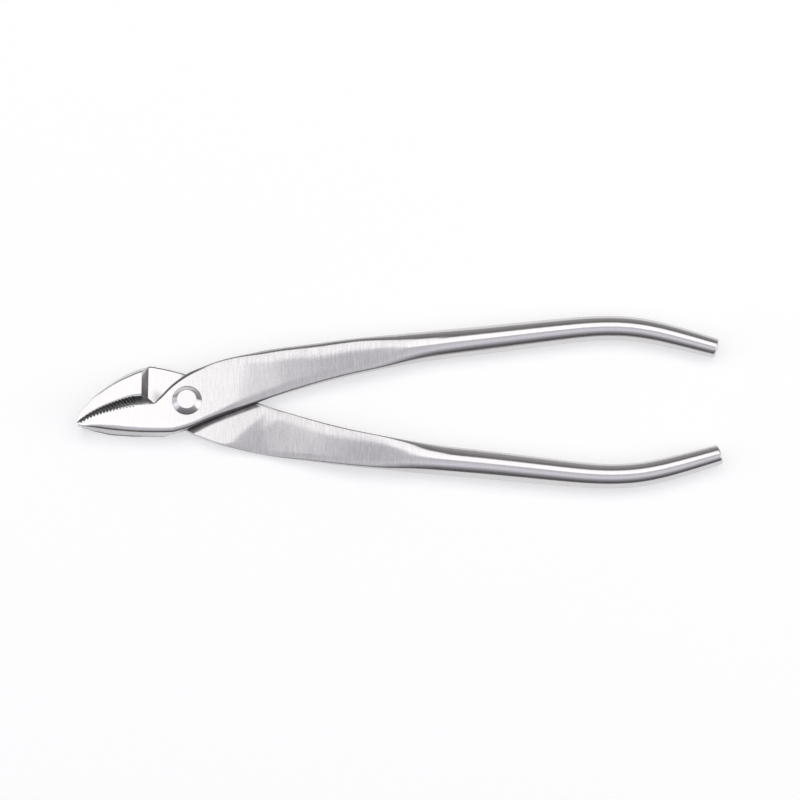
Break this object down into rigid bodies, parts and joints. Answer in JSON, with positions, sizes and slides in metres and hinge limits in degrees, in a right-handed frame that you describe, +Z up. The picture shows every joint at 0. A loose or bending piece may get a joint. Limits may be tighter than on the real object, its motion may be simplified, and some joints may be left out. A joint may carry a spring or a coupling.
{
  "type": "narrow nose pliers",
  "caption": "Steel hand pliers with curved narrow toothed jaws, a riveted half-lap pivot and two long round bare handles that bow outwards and turn in at their ends.",
  "frame": {"origin": "on the rivet's axis, at the flat end of the rivet on the underside, which the tool lies on", "axes": "+X from the pivot towards the handles, the jaws pointing along -X; +Y towards the front arm's handle; +Z up, along the rivet, out of the side with the rivet's head"},
  "size_m": [0.21, 0.0588, 0.0092],
  "materials": {
    "arm_steel": "fine satin brushed across the flats",
    "rivet_steel": "bright turned"
  },
  "bodies": {
    "front": {"front_arm": "arm_steel", "pivot_rivet": "rivet_steel", "rivet_collar": "rivet_steel"},
    "rear": {"rear_arm": "arm_steel"}
  },
  "joints": [
    {"name": "pivot", "type": "hinge", "parent": "front", "child": "rear", "pos_m": [0, 0, 0.0046], "axis": [0, 0, -1], "range_deg": [0, 40]}
  ]
}
